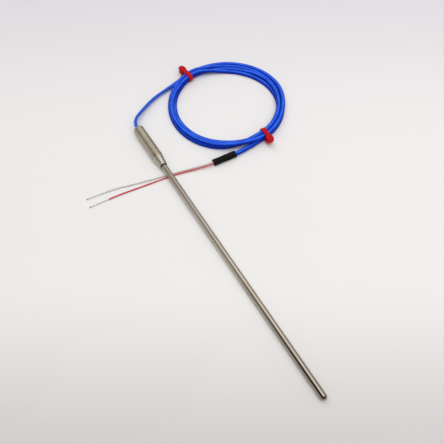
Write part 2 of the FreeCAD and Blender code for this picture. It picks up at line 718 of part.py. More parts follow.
def make_tail(colour, sign, points, bare):
    """One core from the jacket's end, through the sleeve and along the table, and its bare conductor."""
    start, ahead, length = sleeve_axis()
    side = ahead.cross(UP) * (-sign * size("element_spacing") / 2)
    radius = size("core_diameter") / 2
    inner = start + ahead * size("sleeve_jacket") + side
    leaving = start + ahead * length + side
    route = [leaving, leaving + ahead * TAIL_STRAIGHT] + [on_table(point) for point in points]
    outline = Part.Wire([Part.Circle(leaving, ahead, radius).toShape()])
    label = f"tail_{colour}"
    sleeved = Part.makeCylinder(radius, (leaving - inner).Length, inner, ahead)
    core = solid_piece(label, swept(label, outline, route).fuse(sleeved).removeSplitter())
    wire = doc.addObject("Part::Cylinder", f"bare_end_{colour}")
    wire.Label = f"bare_end_{colour}"
    bind(wire, Radius="sizes.conductor_diameter / 2", Height=f"sizes.{bare}")
    wire.Placement = Placement(route[-1], Rotation(UP, direction(route[-2], route[-1])))
    return [core, wire]


def build():
    bead = ball("hot_junction", "sizes.junction_diameter / 2", BEAD_CENTRE)
    elements = make_elements()
    sheath = make_sheath()
    splices = make_splices()
    jacket = solid_piece("jacket_in_pot", prism(EXIT + PROBE_AXIS * size("jacket_inside"), -PROBE_AXIS,
                                                2 * size("jacket_inside"), UP))
    sheath_end = rod("sheath_in_resin", GRIP_RADIUS, SHEATH_OPEN, "sizes.sheath_inside")
    pieces = [sheath, bead, make_pot()]
    pieces += elements
    pieces += splices
    pieces.append(make_mineral_core(elements, bead))
    pieces.append(make_end_seal(elements))
    pieces.append(make_resin(elements + splices + [jacket, sheath_end]))
    lead, into_coil = make_lead()
    end, out_of_coil = make_end()
    pieces += [lead, make_coil([into_coil, out_of_coil]), end]
    pieces.append(make_tie("cable_tie_upper", UPPER_TIE_TURN, UPPER_TIE_SKEW))
    pieces.append(make_tie("cable_tie_lower", LOWER_TIE_TURN, LOWER_TIE_SKEW))
    pieces.append(make_end_sleeve())
    pieces += make_tail("red", 1, RED_POINTS, "bare_red")
    pieces += make_tail("white", -1, WHITE_POINTS, "bare_white")
    return pieces


def check(pieces):
    """Stops before anything is written if an object failed or a piece isn't one valid solid."""
    for obj in doc.Objects:
        if "Invalid" in obj.State or "Error" in obj.State:
            raise RuntimeError(f"{obj.Name} failed: {obj.State}")
    for piece in pieces:
        shape = piece.Shape
        if shape.isNull() or not shape.isValid() or len(shape.Solids) != 1:
            raise RuntimeError(f"{piece.Label} isn't one valid solid")


def export(pieces):
    os.makedirs("parts", exist_ok=True)
    for piece in pieces:
        piece.Shape.exportStep(f"parts/{piece.Label}.step")
        print(piece.Label, round(piece.Shape.Volume, 2))


sub_parts = build()
doc.recompute()
check(sub_parts)
export(sub_parts)
print("probe axis", tuple(PROBE_AXIS), "mouth", tuple(PROBE.Base), "exit", tuple(EXIT))
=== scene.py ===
import math

import bmesh
import bpy
from mathutils import Matrix, Vector


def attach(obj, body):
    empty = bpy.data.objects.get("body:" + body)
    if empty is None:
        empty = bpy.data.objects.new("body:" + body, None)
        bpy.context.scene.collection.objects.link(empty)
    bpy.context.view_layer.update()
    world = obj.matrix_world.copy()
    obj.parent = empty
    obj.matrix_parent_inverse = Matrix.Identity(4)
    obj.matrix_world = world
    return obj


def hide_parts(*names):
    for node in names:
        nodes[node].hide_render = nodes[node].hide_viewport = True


# A mineral insulated thermocouple: a steel probe, a pot sleeve, and a tied coil of flat blue cable.
# Metres, in the CAD's frame: +X runs from the pot to the tip, +Z is up, and the table is Z = 0.

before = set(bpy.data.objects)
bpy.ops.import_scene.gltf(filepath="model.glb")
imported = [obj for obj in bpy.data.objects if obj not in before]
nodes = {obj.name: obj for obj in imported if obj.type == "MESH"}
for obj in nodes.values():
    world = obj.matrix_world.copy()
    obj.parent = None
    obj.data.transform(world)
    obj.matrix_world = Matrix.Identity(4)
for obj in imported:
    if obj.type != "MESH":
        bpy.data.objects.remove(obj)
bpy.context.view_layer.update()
scene = bpy.context.scene
scene.view_settings.view_transform = "Standard"
UP = Vector((0.0, 0.0, 1.0))

# Camera

IMAGE_SIDE = 444
FOCAL_PIXELS = 460.0
AXIS_PIXEL = 206.5
RAISED_PIXELS = 0.5
SENSOR_WIDTH = 36.0
CAMERA_PLACE = Vector((0.15991, -0.10669, 0.36016))
CAMERA_LOOK = Vector((-0.4415, 0.2653, -0.8572))


def add_camera():
    data = bpy.data.cameras.new("camera")
    data.sensor_width = SENSOR_WIDTH
    data.lens = SENSOR_WIDTH * FOCAL_PIXELS / IMAGE_SIDE
    data.shift_x = (IMAGE_SIDE / 2 - AXIS_PIXEL) / IMAGE_SIDE
    data.shift_y = -RAISED_PIXELS / IMAGE_SIDE
    camera = bpy.data.objects.new("camera", data)
    camera.location = CAMERA_PLACE
    camera.rotation_euler = CAMERA_LOOK.to_track_quat("-Z", "Y").to_euler()
    scene.collection.objects.link(camera)
    scene.camera = camera


add_camera()

# Places of the cable, from the point where it leaves the pot. Heights are above the table.

PROBE_AXIS = Vector((0.99995378, 0.0, -0.00961441))
POT_MOUTH = Vector((-0.09774548, 0.0, 0.00537476))
EXIT = Vector((-0.15224296, 0.0, 0.00589874))
JACKET_INSIDE = 0.009
LEAD_STRAIGHT = 0.006
LEAD_POINTS = [
    (-0.0113, 0.0018, 0.0056),
    (-0.0162, 0.0053, 0.0051),
    (-0.0198, 0.0101, 0.0046),
    (-0.0233, 0.0156, 0.0041),
    (-0.0281, 0.0234, 0.0034),
    (-0.0326, 0.0319, 0.0029),
    (-0.0360, 0.0411, 0.0027),
    (-0.0383, 0.0500, 0.0027),
    (-0.0404, 0.0590, 0.0026),
    (-0.0434, 0.0710, 0.0024),
]
COIL_CENTRE = (0.01245, 0.0998)
COIL_POINTS = [
    # First pass: outermost, then up on the fourth pass to the lower tie
    (197, 0.0610, 0.003),
    (187, 0.0616, 0.0026),
    (175, 0.0625, 0.0019),
    (161, 0.0632, 0.0015),
    (147, 0.0636, 0.0015),
    (133, 0.0637, 0.0015),
    (119, 0.0641, 0.0015),
    (105, 0.0644, 0.0015),
    (92, 0.0636, 0.0017),
    (80, 0.0618, 0.0036),
    (69, 0.0602, 0.0045),
    (57, 0.0593, 0.0045),
    (45, 0.0590, 0.0045),
    (33, 0.0590, 0.0046),
    (21, 0.0598, 0.0052),
    (10, 0.0606, 0.00595),
    (0, 0.0608, 0.00605),
    # On round the bottom, over the other two, to the upper tie's inner side
    (-9, 0.0609, 0.0068),
    (-19, 0.0611, 0.0074),
    (-29, 0.0613, 0.0067),
    (-40, 0.0615, 0.0053),
    (-52, 0.0615, 0.0046),
    (-66, 0.0615, 0.0045),
    (-80, 0.0615, 0.0045),
    (-94, 0.0614, 0.0045),
    (-108, 0.0608, 0.0045),
    (-121, 0.0596, 0.0046),
    (-133, 0.0582, 0.0049),
    (-145, 0.0570, 0.0054),
    (-156, 0.0564, 0.0059),
    (-166, 0.0561, 0.00605),
    # Second pass: down to the innermost place on the table
    (-175, 0.0552, 0.00595),
    (-184, 0.0532, 0.0053),
    (-194, 0.0512, 0.0038),
    (-205, 0.0502, 0.0021),
    (-217, 0.0500, 0.0015),
    (-230, 0.0502, 0.0015),
    (-244, 0.0509, 0.0015),
    (-258, 0.0520, 0.0015),
    (-272, 0.0531, 0.0015),
    (-286, 0.0541, 0.0015),
    (-300, 0.0548, 0.0015),
    (-314, 0.0550, 0.0015),
    (-328, 0.0551, 0.0016),
    (-341, 0.0556, 0.0022),
    (-352, 0.0561, 0.003),
    (-363, 0.0561, 0.0029),
    (-375, 0.0554, 0.0021),
    (-388, 0.0547, 0.0015),
    (-402, 0.0551, 0.0015),
    (-416, 0.0561, 0.0015),
    (-430, 0.0568, 0.0015),
    (-444, 0.0571, 0.0015),
    (-458, 0.0573, 0.0015),
    (-472, 0.0574, 0.0015),
    (-486, 0.0572, 0.0015),
    (-499, 0.0568, 0.0016),
    (-511, 0.0563, 0.0022),
    (-522, 0.0561, 0.0029),
    # Third pass: beside the second, then up on it, and out under the first
    (-532, 0.0561, 0.0027),
    (-543, 0.0557, 0.0019),
    (-556, 0.0550, 0.0015),
    (-570, 0.0546, 0.0015),
    (-584, 0.0547, 0.0015),
    (-598, 0.0551, 0.0018),
    (-611, 0.0556, 0.003),
    (-624, 0.0558, 0.004),
    (-637, 0.0556, 0.0045),
    (-650, 0.0552, 0.0045),
    (-664, 0.0548, 0.0045),
    (-678, 0.0546, 0.0045),
    (-691, 0.0548, 0.0047),
    (-702, 0.0555, 0.0054),
    (-712, 0.0561, 0.006),
    (-722, 0.0564, 0.0059),
    (-732, 0.0575, 0.0049),
    (-743, 0.0593, 0.0032),
    (-755, 0.0612, 0.0019),
    (-768, 0.0624, 0.0015),
    (-782, 0.0630, 0.0015),
    (-796, 0.0631, 0.0015),
    (-810, 0.0629, 0.0015),
    (-824, 0.0624, 0.0015),
    (-837, 0.0620, 0.0016),
    (-849, 0.0617, 0.0021),
    (-860, 0.0614, 0.0034),
    (-871, 0.0610, 0.005),
    (-881, 0.0606, 0.006),
    # Fourth pass: down between the first and third, and out at the lower tie
    (-890, 0.0602, 0.0059),
    (-899, 0.0595, 0.0051),
    (-909, 0.0589, 0.0037),
    (-920, 0.0587, 0.0022),
    (-932, 0.0589, 0.0015),
    (-946, 0.0591, 0.0015),
    (-960, 0.0595, 0.0015),
    (-974, 0.0597, 0.0015),
    (-988, 0.0590, 0.0015),
    (-1002, 0.0584, 0.0015),
    (-1016, 0.0590, 0.0015),
    (-1030, 0.0594, 0.0015),
    (-1044, 0.0596, 0.0016),
    (-1057, 0.0602, 0.0022),
    (-1070, 0.0608, 0.0029),
    (-1082, 0.0616, 0.0029),
]
END_POINTS = [
    (0.0749, 0.0892, 0.0027),
    (0.07535, 0.0807, 0.0027),
    (0.07582, 0.0741, 0.0027),
]
SLEEVE_START = (0.0755, 0.0691, 0.0027)
SLEEVE_END = (0.0739, 0.0444, 0.0027)
SLEEVE_JACKET = 0.012
CORE_OFFSET = 0.0010
TAIL_STRAIGHT = 0.005
RED_POINTS = [
    (0.0726, 0.0315, 0.0022),
    (0.0706, 0.0240, 0.00145),
    (0.0683, 0.0156, 0.00095),
    (0.0657, 0.0035, 0.00077),
    (0.0641, -0.0090, 0.00075),
    (0.0628, -0.0220, 0.00075),
    (0.0613, -0.0355, 0.00075),
    (0.0596, -0.0488, 0.00075),
    (0.0591, -0.0613, 0.00075),
]
WHITE_POINTS = [
    (0.0705, 0.0313, 0.0022),
    (0.0683, 0.0236, 0.00145),
    (0.0659, 0.0149, 0.00095),
    (0.0632, 0.0028, 0.00077),
    (0.0608, -0.0096, 0.00075),
    (0.0580, -0.0230, 0.00075),
    (0.0549, -0.0374, 0.00075),
    (0.0510, -0.0514, 0.00075),
    (0.0499, -0.0648, 0.00075),
]
RED_BARE = 0.0195
WHITE_BARE = 0.0150

CABLE_WIDTH = 0.0047
CABLE_THICKNESS = 0.0030
CABLE_WAIST = 0.00010
CORE_RADIUS = 0.0007
LEAN_START = 0.010
LEAN_END = 0.030
LEAN_TURN = 28
TWIST_START = 0.060
TWIST_END = 0.100
LINE_STEPS = 8
CABLE_SEGMENTS = 24
CABLE_SIDE_CUTS = 3
CORE_SEGMENTS = 16
SHARP_ANGLE = math.radians(40)


def on_table(point):
    """A cable point: its place from the exit, its height from the table."""
    return Vector((EXIT.x + point[0], EXIT.y + point[1], point[2]))


def round_coil(point):
    """A point of the coil: its turn in degrees, its radius and its height."""
    turn = math.radians(point[0])
    across = COIL_CENTRE[0] + point[1] * math.cos(turn)
    along = COIL_CENTRE[1] + point[1] * math.sin(turn)
    return on_table((across, along, point[2]))


sleeve_start = on_table(SLEEVE_START)
sleeve_end = on_table(SLEEVE_END)
sleeve_ahead = (sleeve_end - sleeve_start).normalized()
jacket_end = sleeve_start + sleeve_ahead * SLEEVE_JACKET


def cable_route():
    points = [EXIT + PROBE_AXIS * JACKET_INSIDE, EXIT, EXIT - PROBE_AXIS * LEAD_STRAIGHT]
    points += [on_table(point) for point in LEAD_POINTS]
    points += [round_coil(point) for point in COIL_POINTS]
    points += [on_table(point) for point in END_POINTS]
    return points + [sleeve_start, jacket_end]


def tail_route(points, side):
    """A tail starts in the sleeve, on its own side, and leaves it straight."""
    shift = sleeve_ahead.cross(UP) * (-side * CORE_OFFSET)
    leaving = sleeve_end + shift
    straight = [jacket_end + shift, leaving, leaving + sleeve_ahead * TAIL_STRAIGHT]
    return straight + [on_table(point) for point in points]


def smooth_line(name, points):
    """The points of a smooth spline on a route."""
    curve = bpy.data.curves.new(name, "CURVE")
    curve.dimensions = "3D"
    curve.resolution_u = LINE_STEPS
    spline = curve.splines.new("NURBS")
    spline.points.add(len(points) - 1)
    for knot, point in zip(spline.points, points):
        knot.co = (*point, 1.0)
    spline.order_u = 3
    spline.use_endpoint_u = True
    carrier = bpy.data.objects.new(name, curve)
    line = bpy.data.meshes.new_from_object(carrier)
    path = [vertex.co.copy() for vertex in line.vertices]
    bpy.data.objects.remove(carrier)
    bpy.data.curves.remove(curve)
    bpy.data.meshes.remove(line)
    return path


# Carrying an outline along a line


def eased(value, start, end):
    share = min(max((value - start) / (end - start), 0.0), 1.0)
    return share * share * (3.0 - 2.0 * share)


def lying_flat(ahead, gone):
    return ahead.cross(UP)


def edge_then_flat(ahead, gone):
    """The cable leaves the pot on edge, leans over a little, and lies down flat before the coil."""
    flat = ahead.cross(UP).normalized()
    upright = flat.cross(ahead)
    lean = LEAN_TURN * eased(gone, LEAN_START, LEAN_END)
    turn = math.radians((90 - lean) * (1.0 - eased(gone, TWIST_START, TWIST_END)))
    return flat * math.cos(turn) + upright * math.sin(turn)


def outline_place(point, ahead, across):
    """Where an outline stands: its width lies across, and it faces ahead."""
    place = Matrix((across, ahead.cross(across), ahead)).transposed().to_4x4()
    place.translation = point
    return place


def places_along(path, wide):
    """For every point of a path, the place of the outline there and the length gone."""
    places = []
    gone = 0.0
    last = path[0]
    for index, point in enumerate(path):
        gone += (point - last).length
        last = point
        ahead = path[min(index + 1, len(path) - 1)] - path[max(index - 1, 0)]
        ahead.normalize()
        across = wide(ahead, gone).normalized()
        places.append((outline_place(point, ahead, across), gone))
    return places


def flat_outline(mesh, width, thickness, waist):
    """Two half rounds joined by straight sides, a little hollow between the cores."""
    radius = thickness / 2
    half_step = Matrix.Rotation(math.pi / CABLE_SEGMENTS, 4, "Z")
    bmesh.ops.create_circle(mesh, segments=CABLE_SEGMENTS, radius=radius, matrix=half_step)
    reach = Vector((width / 2 - radius, 0.0, 0.0))
    right = [vert for vert in mesh.verts if vert.co.x > 0.0]
    left = [vert for vert in mesh.verts if vert.co.x < 0.0]
    bmesh.ops.translate(mesh, verts=right, vec=reach)
    bmesh.ops.translate(mesh, verts=left, vec=-reach)
    sides = [edge for edge in mesh.edges if edge.calc_length() > radius]
    bmesh.ops.subdivide_edges(mesh, edges=sides, cuts=CABLE_SIDE_CUTS)
    middle = [vert for vert in mesh.verts if abs(vert.co.x) < reach.x / 4]
    bmesh.ops.scale(mesh, verts=middle, vec=(1.0, 1.0 - waist / radius, 1.0))


def round_outline(mesh, radius):
    bmesh.ops.create_circle(mesh, segments=CORE_SEGMENTS, radius=radius)


def extruded_ring(mesh, ring, move):
    """Draws a ring of edges out to a new place, and gives the new verts and edges."""
    grown = bmesh.ops.extrude_edge_only(mesh, edges=ring)["geom"]
    verts = [part for part in grown if isinstance(part, bmesh.types.BMVert)]
    fresh = set(verts)
    grown_edges = [part for part in grown if isinstance(part, bmesh.types.BMEdge)]
    edges = [edge for edge in grown_edges if fresh.issuperset(edge.verts)]
    bmesh.ops.transform(mesh, matrix=move, verts=verts)
    return verts, edges


def carried(places, outline, *sizes):
    """Carries a closed outline along its places. The lay attribute keeps across, over and along."""
    mesh = bmesh.new()
    lay = mesh.verts.layers.float_vector.new("lay")
    outline(mesh, *sizes)
    for vert in mesh.verts:
        vert[lay] = vert.co
    ring = list(mesh.edges)
    bmesh.ops.contextual_create(mesh, geom=ring)
    bmesh.ops.transform(mesh, matrix=places[0][0], verts=mesh.verts)
    for (last, _), (place, gone) in zip(places, places[1:]):
        verts, ring = extruded_ring(mesh, ring, place @ last.inverted())
        for vert in verts:
            vert[lay] = Vector((vert[lay].x, vert[lay].y, gone))
    bmesh.ops.contextual_create(mesh, geom=ring)
    bmesh.ops.recalc_face_normals(mesh, faces=mesh.faces)
    return mesh


def add_piece(name, mesh, slot, *replaced):
    """Links a finished mesh as a piece on the body, in place of CAD nodes."""
    data = bpy.data.meshes.new(name)
    mesh.to_mesh(data)
    mesh.free()
    data.shade_smooth()
    data.set_sharp_from_angle(angle=SHARP_ANGLE)
    piece = bpy.data.objects.new(name, data)
    scene.collection.objects.link(piece)
    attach(piece, "root")
    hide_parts(*replaced)
    return piece


# Cable, tails and their ends

cable_path = smooth_line("cable_route", cable_route())
cable_places = places_along(cable_path, edge_then_flat)
cable_mesh = carried(cable_places, flat_outline, CABLE_WIDTH, CABLE_THICKNESS, CABLE_WAIST)
cable = add_piece("blue_cable", cable_mesh, "jacket_blue", "cable_lead", "cable_coil", "cable_end")

red_path = smooth_line("red_route", tail_route(RED_POINTS, 1))
red_mesh = carried(places_along(red_path, lying_flat), round_outline, CORE_RADIUS)
red_tail = add_piece("red_core", red_mesh, "core_red", "tail_red")

white_path = smooth_line("white_route", tail_route(WHITE_POINTS, -1))
white_mesh = carried(places_along(white_path, lying_flat), round_outline, CORE_RADIUS)
white_tail = add_piece("white_core", white_mesh, "core_white", "tail_white")

STRAND_RADIUS = 0.00010
STRAND_RING = 0.00020
STRAND_PITCH = 0.0060
STRANDS_ROUND = 6
STRAND_SEGMENTS = 8
STRAND_STEPS = 20
BEAD_RADIUS = 0.00034
BEAD_LENGTH = 0.0016
BEAD_SEGMENTS = 16
BEAD_ROUNDING = 0.7 * BEAD_RADIUS


def capped_circle(mesh, segments, radius, matrix):
    """Adds a filled circle and gives its edges."""
    verts = bmesh.ops.create_circle(mesh, cap_ends=True, segments=segments, radius=radius,
                                    matrix=matrix)["verts"]
    return list(dict.fromkeys(edge for vert in verts for edge in vert.link_edges))


def twisted_strands(path, length):
    """Six strands twisted round a seventh, run together in a tinned tip."""
    mesh = bmesh.new()
    lay = mesh.verts.layers.float_vector.new("lay")
    turns = length / STRAND_PITCH
    steps = math.ceil(turns * STRAND_STEPS)
    rise = Vector((0.0, 0.0, length / steps))
    for index in range(STRANDS_ROUND + 1):
        out = STRAND_RING if index else 0.0
        turn = Matrix.Rotation(math.tau * index / STRANDS_ROUND, 4, "Z")
        start = turn @ Matrix.Translation((out, 0.0, 0.0))
        strand = capped_circle(mesh, STRAND_SEGMENTS, STRAND_RADIUS, start)
        bmesh.ops.spin(mesh, geom=strand, cent=(0.0, 0.0, 0.0), axis=UP, dvec=rise,
                       angle=math.tau * turns, steps=steps, use_merge=False)
    tip = Matrix.Translation((0.0, 0.0, length - BEAD_LENGTH))
    bead_start = capped_circle(mesh, BEAD_SEGMENTS, BEAD_RADIUS, tip)
    draw_out = Matrix.Translation((0.0, 0.0, BEAD_LENGTH))
    _, bead_end = extruded_ring(mesh, bead_start, draw_out)
    bmesh.ops.contextual_create(mesh, geom=bead_end)
    bmesh.ops.bevel(mesh, geom=bead_end + bead_start, offset=BEAD_ROUNDING, offset_type="OFFSET",
                    affect="EDGES", segments=3, profile=0.5, material=-1)
    for vert in mesh.verts:
        vert[lay] = vert.co
    bmesh.ops.recalc_face_normals(mesh, faces=mesh.faces)
    ahead = (path[-1] - path[-2]).normalized()
    place = outline_place(path[-1], ahead, ahead.cross(UP))
    bmesh.ops.transform(mesh, matrix=place, verts=mesh.verts)
    return mesh


red_wire = twisted_strands(red_path, RED_BARE)
red_strands = add_piece("red_bare_strands", red_wire, "conductor", "bare_end_red")
white_wire = twisted_strands(white_path, WHITE_BARE)
white_strands = add_piece("white_bare_strands", white_wire, "conductor", "bare_end_white")

# Heat-shrink sleeve over the end of the jacket

SLEEVE_PROFILE = [
    # Along the sleeve, and how far the surface stands off the jacket
    (0.0060, 0.00003),
    (0.0002, 0.00003),
    (0.0000, 0.00050),
    (0.0001, 0.00098),
    (0.0006, 0.00120),
    (0.0030, 0.00115),
    (0.0060, 0.00120),
    (0.0090, 0.00117),
    (0.0115, 0.00119),
    (0.0128, 0.00110),
    (0.0145, 0.00102),
    (0.0180, 0.00106),
    (0.0210, 0.00102),
    (0.0230, 0.00108),
    (0.0242, 0.00110),
    (0.02464, 0.00092),
    (0.02475, 0.00050),
    (0.02464, 0.00002),
    (0.0210, -0.00010),
]


def sleeve_ring(along, stand_off):
    """Moves the jacket's outline to a place on the profile."""
    wide = 1.0 + 2 * stand_off / CABLE_WIDTH
    high = 1.0 + 2 * stand_off / CABLE_THICKNESS
    return Matrix.Translation((0.0, 0.0, along)) @ Matrix.Diagonal((wide, high, 1.0, 1.0))


def shrunk_sleeve():
    """Rings of the jacket's outline, each grown by its place on the profile."""
    mesh = bmesh.new()
    lay = mesh.verts.layers.float_vector.new("lay")
    flat_outline(mesh, CABLE_WIDTH, CABLE_THICKNESS, 0.0)
    ring = list(mesh.edges)
    bmesh.ops.contextual_create(mesh, geom=ring)
    rings = [sleeve_ring(*row) for row in SLEEVE_PROFILE]
    bmesh.ops.transform(mesh, matrix=rings[0], verts=mesh.verts)
    for last, new in zip(rings, rings[1:]):
        _, ring = extruded_ring(mesh, ring, new @ last.inverted())
    bmesh.ops.contextual_create(mesh, geom=ring)
    for vert in mesh.verts:
        vert[lay] = vert.co
    bmesh.ops.recalc_face_normals(mesh, faces=mesh.faces)
    place = outline_place(sleeve_start, sleeve_ahead, sleeve_ahead.cross(UP))
    bmesh.ops.transform(mesh, matrix=place, verts=mesh.verts)
    return mesh


sleeve = add_piece("shrunk_sleeve", shrunk_sleeve(), "sleeve_black", "end_sleeve")

# Shader maths


class Wire:
    """A socket in a node tree. Sums on wires add Math nodes."""

    def __init__(self, tree, socket=None):
        self.tree = tree
        self.socket = socket

    def node(self, kind, settings, inputs, output=0):
        """Adds a node: first its settings, then a value or a wire for each input."""
        made = self.tree.nodes.new(kind)
        for name, value in settings.items():
            setattr(made, name, value)
        for name, value in inputs.items():
            if isinstance(value, Wire):
                self.tree.links.new(value.socket, made.inputs[name])
            else:
                made.inputs[name].default_value = value
        return Wire(self.tree, made.outputs[output])

    def maths(self, operation, first, second):
        return self.node("ShaderNodeMath", {"operation": operation}, {0: first, 1: second})

    def __add__(self, other):
        return self.maths("ADD", self, other)

    def __radd__(self, other):
        return self.maths("ADD", other, self)

    def __sub__(self, other):
        return self.maths("SUBTRACT", self, other)

    def __rsub__(self, other):
        return self.maths("SUBTRACT", other, self)

    def __mul__(self, other):
        return self.maths("MULTIPLY", self, other)

    def __rmul__(self, other):
        return self.maths("MULTIPLY", other, self)


def object_place(wire):
    return wire.node("ShaderNodeTexCoord", {}, {}, "Object")


def lay_place(wire):
    """Across, over and along a carried piece."""
    return wire.node("ShaderNodeAttribute", {"attribute_name": "lay"}, {}, "Vector")


def part_of(vector, axis):
    return vector.node("ShaderNodeSeparateXYZ", {}, {0: vector}, axis)


def cloud(vector, scale, detail=3.0, stretch=(1.0, 1.0, 1.0)):
    """Soft noise from 0 to 1, finer along the axes with a larger stretch."""
    placed = vector.node("ShaderNodeMapping", {}, {"Vector": vector, "Scale": stretch})
    inputs = {"Vector": placed, "Scale": scale, "Detail": detail}
    return vector.node("ShaderNodeTexNoise", {}, inputs, "Fac")


def ranged(value, start, end, low=0.0, high=1.0):
    """Carries start..end over to low..high, with soft ends."""
    inputs = {"Value": value, 1: start, 2: end, 3: low, 4: high}
    return value.node("ShaderNodeMapRange", {"interpolation_type": "SMOOTHSTEP"}, inputs)


def mixed(share, colour, other):
    """One colour where share is 0, the other where it is 1."""
    inputs = {0: share, 6: colour, 7: other}
    for socket in (6, 7):
        if not isinstance(inputs[socket], Wire):
            inputs[socket] = (*inputs[socket], 1.0)
    return share.node("ShaderNodeMix", {"data_type": "RGBA"}, inputs, 2)


def mottled(noise, colour, other):
    """Two shades, mixed by the middle of a noise."""
    return mixed(ranged(noise, 0.3, 0.7), colour, other)


def bumped(height, distance, strength=1.0):
    inputs = {"Height": height, "Distance": distance, "Strength": strength}
    return height.node("ShaderNodeBump", {}, inputs, "Normal")


def start_finish(name, constants):
    """A material whose plain values are set, its shader and a wire to add nodes from."""
    material = bpy.data.materials.new(name)
    material.use_nodes = True
    shader = material.node_tree.nodes["Principled BSDF"]
    for socket, value in constants.items():
        shader.inputs[socket].default_value = value
    return material, shader, Wire(material.node_tree)


def feed(shader, links):
    for socket, wire in links.items():
        wire.tree.links.new(wire.socket, shader.inputs[socket])


def cover(piece, material):
    """Gives a piece one material in place of any it has."""
    piece.data.materials.clear()
    piece.data.materials.append(material)


# Steel of the probe and of the pot

SHEATH_STEEL = (0.46, 0.41, 0.345)
SHEATH_WARM = (0.40, 0.345, 0.265)
SHEATH_TIP_SHADE = (0.35, 0.31, 0.255)
SHEATH_LINES = (25.0, 2600.0, 2600.0)
SHEATH_PATCHES = (0.5, 1.0, 1.0)
SHEATH_MOUTH_SHADE = (0.0011, 0.0004)
SHEATH_SHADE_SPAN = (0.13, 0.235)
POT_STEEL = (0.46, 0.43, 0.325)
POT_WARM = (0.41, 0.335, 0.255)
POT_RADIUS = 0.0055
NECK_STEEL = (0.53, 0.535, 0.43)
NECK_DENTS = 22.0
NECK_LENGTH = 0.013
NECK_SLOPE = 0.149
NECK_CRIMP = (-0.0122, -0.0108)
MOUTH_END = (-0.0009, -0.0005)
MOUTH_BORE = (0.0037, 0.0035)
STAKE_DEPTH = (0.00008, 0.0003)
STAKE_FRONT = (-0.0115, -0.0121)
STAKE_REAR = (-0.0160, -0.0152)
STEEL_RECESS_SHADE = (0.02, 0.016, 0.012)


def from_mouth(wire):
    """The way from the middle of the pot's mouth."""
    inputs = {0: object_place(wire), 1: tuple(POT_MOUTH)}
    return wire.node("ShaderNodeVectorMath", {"operation": "SUBTRACT"}, inputs)


def along_probe(wire):
    """Along the probe from the pot's mouth."""
    inputs = {0: from_mouth(wire), 1: tuple(PROBE_AXIS)}
    return wire.node("ShaderNodeVectorMath", {"operation": "DOT_PRODUCT"}, inputs, "Value")


def out_from_probe(wire, along):
    """Out from the axis of the probe."""
    way = from_mouth(wire)
    reach = wire.node("ShaderNodeVectorMath", {"operation": "LENGTH"}, {0: way}, "Value")
    return wire.node("ShaderNodeMath", {"operation": "SQRT"}, {0: reach * reach - along * along})


def drawn_steel():
    """Tube drawn lengthwise: fine lines, warm patches, painted shade where it enters the pot and
    towards the tip.
    """
    material, shader, wire = start_finish("drawn_steel", {"Metallic": 1.0})
    place = object_place(wire)
    lines = cloud(place, scale=1.0, detail=4.0, stretch=SHEATH_LINES)
    patches = cloud(place, scale=60.0, detail=4.0, stretch=SHEATH_PATCHES)
    scuffs = cloud(place, scale=900.0, detail=2.0)
    along = along_probe(wire)
    entry_shade = ranged(along, *SHEATH_MOUTH_SHADE)
    colour = mixed(ranged(patches, 0.35, 0.7), SHEATH_STEEL, SHEATH_WARM)
    # Painted shade: the steel darkens towards the tip, for a dimmer reflection there.
    colour = mixed(ranged(along, *SHEATH_SHADE_SPAN), colour, SHEATH_TIP_SHADE)
    # Painted shade: the steel goes dark where it enters the pot's mouth.
    colour = mixed(entry_shade, colour, STEEL_RECESS_SHADE)
    rough = 0.08 + 0.08 * lines + 0.06 * ranged(scuffs, 0.55, 0.8) + 0.3 * entry_shade
    normal = bumped(lines, distance=0.00001, strength=0.35)
    feed(shader, {"Base Color": colour, "Roughness": rough, "Normal": normal})
    return material


def turned_steel():
    """Turned on a lathe: fine rings, warm patches, a dented neck, painted shade in the mouth and
    stake dimples.
    """
    material, shader, wire = start_finish("turned_steel", {"Metallic": 1.0})
    place = object_place(wire)
    along = along_probe(wire)
    out = out_from_probe(wire, along)
    lengthwise = wire.node("ShaderNodeCombineXYZ", {}, {0: along, 1: 0.0, 2: 0.0})
    rings = cloud(lengthwise, scale=5200.0, detail=3.0)
    patches = cloud(place, scale=90.0, detail=4.0)
    scuffs = cloud(place, scale=700.0, detail=3.0)
    dents = cloud(place, scale=620.0, detail=2.0)
    cone = POT_RADIUS - NECK_SLOPE * wire.maths("MAXIMUM", along + NECK_LENGTH, 0.0)
    # Painted shade: dark in the mouth's bore and in the stake dimples, where shade falls.
    in_mouth = ranged(along, *MOUTH_END) * ranged(out, *MOUTH_BORE)
    in_stake = ranged(along, *STAKE_FRONT) * ranged(along, *STAKE_REAR)
    in_stake = ranged(cone - out, *STAKE_DEPTH) * in_stake
    painted_recess_shade = wire.maths("MAXIMUM", in_mouth, in_stake)
    crimped = ranged(along, *NECK_CRIMP)
    colour = mottled(patches, POT_STEEL, POT_WARM)
    colour = mixed(crimped * ranged(dents, 0.3, 0.6), colour, NECK_STEEL)
    colour = mixed(painted_recess_shade, colour, STEEL_RECESS_SHADE)
    rough = 0.2 + 0.12 * rings + 0.08 * ranged(scuffs, 0.5, 0.8) + 0.3 * painted_recess_shade
    normal = bumped(rings + NECK_DENTS * crimped * dents, distance=0.000004, strength=0.3)
    feed(shader, {"Base Color": colour, "Roughness": rough, "Normal": normal})
    return material


# Plastics

